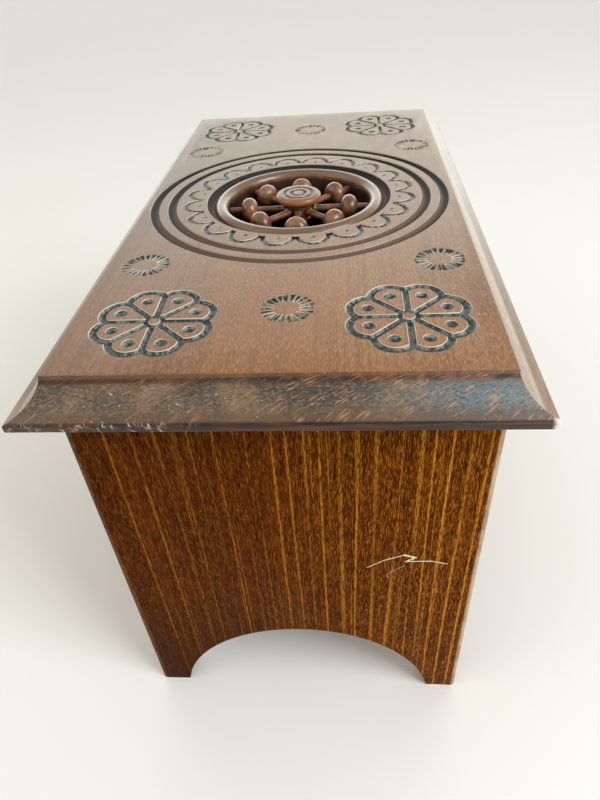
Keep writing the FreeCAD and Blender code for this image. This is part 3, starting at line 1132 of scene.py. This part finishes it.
box_leaves = {end: hinge_leaf(end, "box", (0, 2), -1) for end in hinge_ends}
lid_leaves = {end: hinge_leaf(end, "lid", (1,), 1) for end in hinge_ends}
print("leaves", [len(leaf.data.polygons) for leaf in (*box_leaves.values(), *lid_leaves.values())])

# %% [markdown]
# ### Pins and screws
# A pin is a rod with domed ends. The screws are slotted and countersunk, and their thread is spun as a row
# of ridges, because a true helix can't be told from it at this size. Driven by hand, each screw stops with
# its slot at a turn of its own.

# %% Pins and screws
thread_pitch = 0.9 * mm
thread_depth = 0.22 * mm
slot_half = 0.28 * mm
slot_depth = 0.5 * mm
pin_dome = 0.35 * mm
pin_bend_share = 0.72
pin_drop_share = 0.3
screw_point = 0.72


def hinge_pin(end):
    """A pin with domed ends."""
    low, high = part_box(f"{end}_hinge_pin")
    length = high.y - low.y
    bend = pin_radius * pin_bend_share
    drop = pin_dome * pin_drop_share
    outline = arc((0, 0), (bend, drop), (pin_radius, pin_dome), 5)
    outline += arc((pin_radius, length - pin_dome), (bend, length - drop), (0, length), 5)
    rod = lathe("pin", outline, 32)
    rod.data.transform(along_y(low.y))
    return rod


def screw(node):
    """A slotted countersunk screw with a thread on its shank, pointing up from its head."""
    low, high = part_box(node)
    length = high.z - low.z
    sink = screw_head - screw_shank
    outline = [(0, 0), (screw_head, 0), (screw_shank, sink)]
    place = sink + thread_pitch
    while place < screw_taper * length:
        outline += [(screw_shank - thread_depth, place), (screw_shank, place + thread_pitch / 2)]
        place += thread_pitch
    outline += [(screw_shank - thread_depth, screw_point * length), (0, length)]
    body = lathe("screw", outline, 24)
    slot_low = (-2 * screw_head, -slot_half, -above)
    slot_high = (2 * screw_head, slot_half, slot_depth)
    carve(body, [block("slot", slot_low, slot_high)])
    return body


def screw_set(node):
    """Four screws in one piece, each with its slot at a turn of its own."""
    one = screw(node)
    facing = screw_turn(node)
    copies = [copy_of(one, shift(*place) @ facing @ about_z(chance.uniform(0, math.pi)))
              for place in screw_places(node)]
    discard(one)
    choose(*copies)
    bpy.ops.object.join()
    return copies[0]


pins = {end: hinge_pin(end) for end in hinge_ends}
lid_screws = screw_set("hinge_lid_screws")
box_screws = screw_set("hinge_box_screws")
print("screws", size_of(lid_screws))

# %% [markdown]
# ## Lid finish
# The lid is stained beech under wax. Its top has rubbed to a warm brown with short flecks along the
# grain. It is painted paler towards the far end as a painted sheen, and darker towards the left as
# painted shade. Noise drawn out along the grain gives fibres and flecks, and wide soft steps across the
# board give the slow changes of tone.

# %% Wood of the lid's top
top_x = (lid_high.x - cove_reach) / mm
top_y = (lid_high.y - cove_reach) / mm


def in_mm(place):
    """The three coordinates in millimetres."""
    return [axis / mm for axis in axes_of(place)]


def lid_top_colour(place, x, y):
    """Rubbed wood, fibres, flecks, slow tone changes, a painted sheen far off and painted shade at left."""
    tone = grain(place, (16, 5, 16), 2.0)
    fibre = grain(place, (700, 16, 700), 3.0)
    fleck = grain(place, (3400, 460, 3400), 1.0)
    return lay(
        (120, 80, 46),
        (tone.rise(0.38, 0.62), (144, 99, 60)),
        (0.5 * fibre.rise(0.45, 0.66), (92, 56, 32)),
        (0.5 * fleck.rise(0.54, 0.68), (190, 132, 80)),
        (0.5 * fleck.rise(0.46, 0.33), (80, 48, 28)),
        # painted sheen: paler and greyer towards the far end, where the wax mirrors the light
        (0.66 * y.rise(-130, 20), (140, 124, 106)),
        # painted shade: darker and greyer towards the left, away from the light
        (0.5 * x.rise(-15, -65), (102, 83, 66)),
        (0.24 * abs(x).rise(34, 6) * y.rise(-30, -100), (168, 114, 64)))


print("lid top", round(top_x, 1), "by", round(top_y, 1), "mm from its middle")

# %% [markdown]
# On the end coves the stain soaked into end grain and went grey, and their right part is painted cool
# and pale as a painted reflection. Slanting tool marks and pale specks show there, and a dark brow of
# painted shade, with rubbed brown patches, runs under the top's edge. The lower edge is nicked on the
# left, and the near right corner was knocked white. The marks and damage are so shallow that they are
# drawn as colour.

# %% End coves
corner_x = lid_high.x / mm
corner_y = lid_high.y / mm
edge_height = fillet_height / mm
ramp = 0.4
brow_span = (3.6, 2.0)
foot_span = (5.4, 3.0)
knock_reach = (2.4, 0.8)


def slanting(x, z, lean, width, length):
    """Noise that is drawn out along a slope, for scratches and tool marks."""
    mapped = x.node("CombineXYZ", {}, {0: (x - lean * z) / width, 1: (lean * x + z) / length})
    return x.node("TexNoise", {}, {"Vector": mapped, "Scale": 1.0, "Detail": 1.0})


def end_cove_colour(place, x, z):
    """End grain: dark grey stain, brown rubbed patches, fine threads, a painted cool reflection at right."""
    patch = grain(place, (46, 46, 60), 4.0)
    cool = grain(place, (34, 34, 46), 3.0)
    thread = grain(place, (900, 900, 2400), 3.0)
    return lay(
        (72, 62, 52),
        (patch.rise(0.4, 0.66), (120, 98, 74)),
        (0.6 * cool.rise(0.48, 0.62), (58, 66, 70)),
        # painted reflection: cool and pale towards the right, where the window light is mirrored
        (0.6 * x.rise(20, 62), (114, 134, 138)),
        (0.4 * thread.rise(0.52, 0.66), (156, 134, 108)),
        (0.5 * thread.rise(0.47, 0.34), (40, 32, 26)),
        (0.6 * (z - lid_low.z / mm).rise(*foot_span), (104, 80, 60)))


def worn_and_shaded_end(colour, place, on_end, wear):
    """Painted shade of the brow, tool marks, specks, nicked lower edge and the knocked corner."""
    x, y, z = in_mm(place)
    # painted shade: a dark brow under the top's edge, with rubbed brown patches of wear
    shaded_brow = lay((50, 25, 11), (wear.rise(0.42, 0.66) * x.rise(-60, 20), (124, 74, 36)))
    mark = slanting(x, z, 2.6, 0.75, 15.0).rise(0.61, 0.69) * on_end
    speck = grain(place, (900, 900, 900), 2.0).rise(0.7, 0.76)
    edge = (z - lid_low.z / mm).rise(edge_height + ramp, edge_height) * on_end
    rub = grain(place, (60, 60, 1100), 3.0).rise(0.44, 0.62)
    chip = slanting(x, z, -1.2, 0.6, 4.0).rise(0.54, 0.66) * wear.rise(0.44, 0.56) * x.rise(-15, -30)
    knock = (corner_x - x).rise(*knock_reach) * (corner_y + y).rise(*knock_reach)
    return lay(
        colour,
        (0.85 * on_end * (lid_top / mm - z).rise(*brow_span), shaded_brow),
        ((0.3 + 0.32 * x.rise(-12, 20)) * mark, (204, 146, 92)),
        (0.7 * speck * on_end, (206, 208, 204)),
        (0.97 * edge, lay((34, 16, 5), (rub, (76, 42, 18)))),
        (0.7 * edge * chip, (210, 202, 190)),
        (0.9 * knock * wear.rise(0.3, 0.5), (236, 230, 220)))


print("lower edge of the lid", round(edge_height, 2), "mm high")

# %% [markdown]
# Stain has gathered in the cuts, so they are grey-green and dark, and their lips have rubbed pale. A cut
# is known by its depth below the top. In the turned grooves the floor is brown, and the outer wall is
# painted near black as painted shade.

# %% Lid finish
rings_from = 51.0
rings_to = 63.6
seat_reach = 41.4
seat_wall = (36.4, 38.0)
wall_from = (-1.4, 0.6)
wall_to = (2.6, 2.3)
stain_from = (0.24, 0.4)
stain_to = (3.6, 3.2)
lip_from = (0.04, 0.12)
lip_to = (0.34, 0.22)


def groove_wall(radius, ring):
    """1 on the outer wall of a ring groove, 0 on its inner wall and away from it."""
    past_middle = radius - ring / mm
    return past_middle.rise(*wall_from) * past_middle.rise(*wall_to)


def lid_finish():
    material, place = start_finish("waxed_lid_wood")
    x, y, z = in_mm(place)
    depth = lid_top / mm - z
    past_end = abs(y) - top_y
    past_side = abs(x) - top_x
    inside = past_side.rise(-0.3, -0.6) * past_end.rise(-0.3, -0.6)
    at_end = (past_end - past_side.most(0)).rise(-0.15, 0.15)
    on_end = past_end.rise(-0.3, 0.0) * at_end
    on_side = past_side.rise(-0.4, 0.0) * (1 - at_end)
    wear = grain(place, (160, 160, 160), 3.0)
    sheen_breakup = grain(place, (600, 160, 600), 3.0)
    colour = lay(
        lid_top_colour(place, x, y),
        # painted sheen: the side coves are painted pale where they catch the light, broken up by noise
        (on_side * (0.25 + 0.4 * sheen_breakup), (176, 164, 148)),
        (on_end, end_cove_colour(place, x, z)))
    colour = worn_and_shaded_end(colour, place, on_end, wear)

    radius = place.sum("SQRT", x * x + y * y)
    in_seat = radius.rise(seat_reach, seat_reach - ramp)
    in_rings = radius.rise(rings_from, rings_from + ramp) * radius.rise(rings_to, rings_to - ramp)
    turned = in_rings.most(in_seat)
    # painted shade: the outer wall of each turned groove is painted near black
    outer_wall_shade = groove_wall(radius, outer_ring).most(groove_wall(radius, inner_ring))
    outer_wall_shade = outer_wall_shade.most(radius.rise(*seat_wall) * in_seat)
    stain = depth.rise(*stain_from) * depth.rise(*stain_to) * inside
    lip_line = depth.rise(*lip_from) * depth.rise(*lip_to) * inside
    cut = lay(
        (52, 56, 53),
        (grain(place, (700, 700, 700), 2.0).rise(0.42, 0.62), (126, 134, 126)),
        (0.72 * depth.rise(0.75, 1.3), (32, 35, 34)),
        (0.95 * turned, lay((98, 78, 62), (outer_wall_shade, (28, 21, 16)))))
    colour = lay(colour, (stain, cut), ((0.85 - 0.5 * turned) * lip_line, (214, 204, 182)))
    roughness = 0.36 + 0.16 * wear - 0.08 * on_side + 0.3 * turned * stain
    fibre = grain(place, (1300, 40, 1300), 3.0)
    return end_finish(material, place, colour, roughness, fibre + 0.4 * wear, bump=0.2)


seat(lid, "carved_lid", "lid", "lid_wood", lid_finish(), "lid_board")

# %% [markdown]
# ## Turned wood
# The wheel is polished harder than the boards, so its beads mirror the lights. Wear has bared copper
# tones on the rim's bead and the hub's lip, and the rim's inner wall below is painted dark as painted
# shade.

# %% Turned finish
rim_edge = (29.6, 30.1)
bead_span = (3.2, 1.4)
shaded_wall_span = (2.6, 4.4)
hub_edge = (10.0, 9.8)
hub_face = (2.6, 1.9)
hub_lip = (8.0, 9.0)
ring_floor = (0.12, 0.4)
rings_edge = (7.4, 7.0)


def turned_finish():
    material, place = start_finish("polished_turned_wood")
    x, y, z = in_mm(place)
    depth = lid_top / mm - z
    radius = place.sum("SQRT", x * x + y * y)
    mottle = grain(place, (190, 190, 190), 3.0)
    thread = grain(place, (900, 900, 900), 2.0)
    on_rim = radius.rise(*rim_edge)
    on_hub = radius.rise(*hub_edge) * depth.rise(*hub_face)
    below_cap = depth + (hub_top - lid_top) / mm
    ring_cut = on_hub * below_cap.rise(*ring_floor) * radius.rise(*rings_edge)
    colour = lay(
        (94, 58, 36),
        (mottle.rise(0.35, 0.65), (142, 94, 60)),
        (0.4 * thread.rise(0.5, 0.7), (74, 40, 24)),
        (on_rim * depth.rise(*bead_span), (110, 82, 58)),
        # painted shade: the rim's inner wall below the bead is painted near black
        (0.85 * on_rim * depth.rise(*shaded_wall_span), (30, 30, 32)),
        (0.85 * on_hub, lay((108, 80, 56), (radius.rise(*hub_lip), (148, 90, 50)))),
        (0.8 * ring_cut, (62, 48, 38)))
    return end_finish(material, place, colour, 0.32 + 0.12 * mottle + 0.2 * on_hub, thread, bump=0.08,
                      coat_weight=0.5, coat_roughness=0.14)


turned_wood = turned_finish()
seat(rim, "turned_rim", "lid", "turned_wood", turned_wood, "wheel_rim")
seat(hub, "turned_hub", "lid", "turned_wood", turned_wood, "wheel_hub")
for index, spindle in enumerate(spindles, start=1):
    seat(spindle, f"turned_spindle_{index}", "lid", "turned_wood", turned_wood, f"wheel_spindle_{index}")

# %% [markdown]
# ## Carcass finish
# The boards are stained deep brown, and the hard bands of the growth rings took less stain, so golden
# streaks run along the grain: upright on the end boards, lengthwise on the others. Feet are rubbed pale.
# Towards the right the boards are painted lighter, with brighter streaks, as painted light, and the lower
# left darker as painted shade. A painted highlight, broken up by noise, runs down the corners and is
# strongest on the right. The near end has one long scratch with a hook below it, drawn as straight strokes.

# %% Scratch on the near end
scratch_path = ((26.6, 86.9), (32.4, 91.2), (39.5, 94.4), (43.4, 93.0),
                (40.2, 90.7), (49.2, 91.1), (54.7, 89.5))
scratch_widths = (0.22, 0.3, 0.6, 0.5, 0.32, 0.32)
hook_path = ((39.8, 88.3), (35.6, 85.0), (33.6, 82.4), (34.5, 80.5))
hook_width = 0.2
hook_share = 0.45


def scratch_line(x, z, start, end, width):
    """1 on the straight stroke between two places of a board's face, and 0 off it."""
    run, rise = end[0] - start[0], end[1] - start[1]
    share = ((x - start[0]) * run + (z - start[1]) * rise) / (run * run + rise * rise)
    share = share.most(0).least(1)
    off_x = x - start[0] - share * run
    off_z = z - start[1] - share * rise
    return x.sum("SQRT", off_x * off_x + off_z * off_z).rise(width, width / 2)


def scratch_mask(x, z):
    strokes = [scratch_line(x, z, *ends) for ends in zip(scratch_path, scratch_path[1:], scratch_widths)]
    hook = [scratch_line(x, z, *ends, hook_width) for ends in zip(hook_path, hook_path[1:])]
    return functools.reduce(Term.most, strokes).most(hook_share * functools.reduce(Term.most, hook))


print("scratch strokes", len(scratch_path) - 1, "and", len(hook_path) - 1)

# %% [markdown]
# One function serves both grain directions. The rings are a sine wave across the grain that wanders, and
# finer noise breaks the streaks into fibres and dashes.

# %% Carcass finish
_, board_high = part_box("far_end_panel")
board_half = board_high.x / mm
board_end = board_high.y / mm
ring_spacing = 5.4
ring_wander = 3.6
corner_highlight_span = (-2.4, -1.2)
foot_wear = (1.2, 0.3)


def board_finish(name, axis):
    """Dark boards with golden streaks that lie side by side along one axis."""
    material, place = start_finish(name)
    x, y, z = in_mm(place)

    def drawn(across, along, detail, roughness=0.55):
        """Noise drawn out along the grain, with so many waves to a metre."""
        stretch = (across, across, along) if axis == 0 else (across, along, across)
        return grain(place, stretch, detail, roughness)

    rings = place.sum("SINE", ((x, y, z)[axis] / ring_spacing + ring_wander * drawn(34, 1.2, 2.0)) * math.tau)
    thin = drawn(1100, 6, 2.0, 0.6)
    band = drawn(90, 3, 3.0)
    fibre = drawn(2600, 110, 3.0)
    dash = drawn(4400, 440, 2.0)
    wear = grain(place, (110, 110, 110), 3.0)
    # painted light: the golden streaks grow brighter towards the right, where the light falls
    lit_from_right = 0.42 + 0.58 * x.rise(-25, 55)
    streak = 0.95 * rings.rise(0.8, 1.0) * band.rise(0.3, 0.55)
    streak = streak.most(0.6 * thin.rise(0.58, 0.7)) * (0.5 + 0.5 * dash.rise(0.4, 0.56))
    # painted highlight: pale strips down the vertical corners, strongest on the right, broken up by noise
    corner = (abs(x) - board_half).rise(*corner_highlight_span) * (abs(y) - board_end).rise(*corner_highlight_span)
    corner = corner * (0.15 + 0.75 * x.rise(0, 40)) * (0.6 + 0.4 * wear.rise(0.4, 0.6))
    foot = z.rise(*foot_wear) * wear.rise(0.45, 0.62)
    colour = lay(
        (80, 39, 4),
        # painted light: the base is painted lighter towards the right
        (x.rise(-60, 60), (96, 50, 5)),
        (0.4 * band.rise(0.4, 0.66), (116, 60, 8)),
        (0.7 * fibre.rise(0.44, 0.62), (48, 21, 1)),
        (lit_from_right * streak, (196, 128, 40)),
        (0.6 * lit_from_right * dash.rise(0.54, 0.66), (190, 116, 30)),
        (0.7 * dash.rise(0.47, 0.37), (34, 13, 1)),
        # painted shade: darker towards the lower left
        (0.6 * z.rise(80, 0) * x.rise(30, -25), (52, 26, 2)),
        # pale feet are wear, and the pale corners are a painted highlight
        (0.75 * corner.most(foot), (206, 184, 154)))
    if axis == 0:
        on_near_face = (board_end + y).rise(1, 0)
        scratch = scratch_mask(x, z) * on_near_face * (0.55 + 0.45 * dash.rise(0.4, 0.52))
        colour = lay(colour, (0.95 * scratch, (232, 220, 184)))
    return end_finish(material, place, colour, 0.5 + 0.12 * wear, fibre + 0.5 * streak, bump=0.2,
                      specular_ior_level=0.03)


upright_grain = board_finish("upright_board_wood", 0)
level_grain = board_finish("level_board_wood", 2)
for board, stem, finish in ((near_end, "near_end", upright_grain), (far_end, "far_end", upright_grain),
                            (front_board, "front", level_grain), (back_board, "back", level_grain),
                            (bottom_board, "bottom", level_grain)):
    seat(board, f"{stem}_board", "box", "carcass_wood", finish, f"{stem}_panel")

# %% [markdown]
# ## Brass
# Small hinges of this kind are stamped brass that dulls to a brownish yellow. Tarnish lies in clouds and
# makes the metal rougher where it is darker.

# %% Brass
def brass_finish(name, bright, dull):
    material, place = start_finish(name)
    tarnish = grain(place, (220, 220, 220), 4.0).rise(0.42, 0.66)
    rub = grain(place, (1800, 90, 1800), 2.0)
    roughness = 0.26 + 0.22 * tarnish + 0.08 * rub
    colour = lay(bright, (tarnish, dull))
    return end_finish(material, place, colour, roughness, rub, bump=0.06, metallic=1.0)


leaf_brass = brass_finish("dulled_leaf_brass", (206, 168, 100), (140, 104, 56))
screw_brass = brass_finish("dulled_screw_brass", (196, 156, 92), (120, 88, 50))
for end in hinge_ends:
    seat(box_leaves[end], f"{end}_lower_leaf", "box", "hinge_brass", leaf_brass, f"{end}_hinge_box_leaf")
    seat(lid_leaves[end], f"{end}_upper_leaf", "lid", "hinge_brass", leaf_brass, f"{end}_hinge_lid_leaf")
    seat(pins[end], f"{end}_pin", "box", "hinge_brass", leaf_brass, f"{end}_hinge_pin")
seat(lid_screws, "upper_screws", "lid", "screw_brass", screw_brass, "hinge_lid_screws")
seat(box_screws, "lower_screws", "box", "screw_brass", screw_brass, "hinge_box_screws")
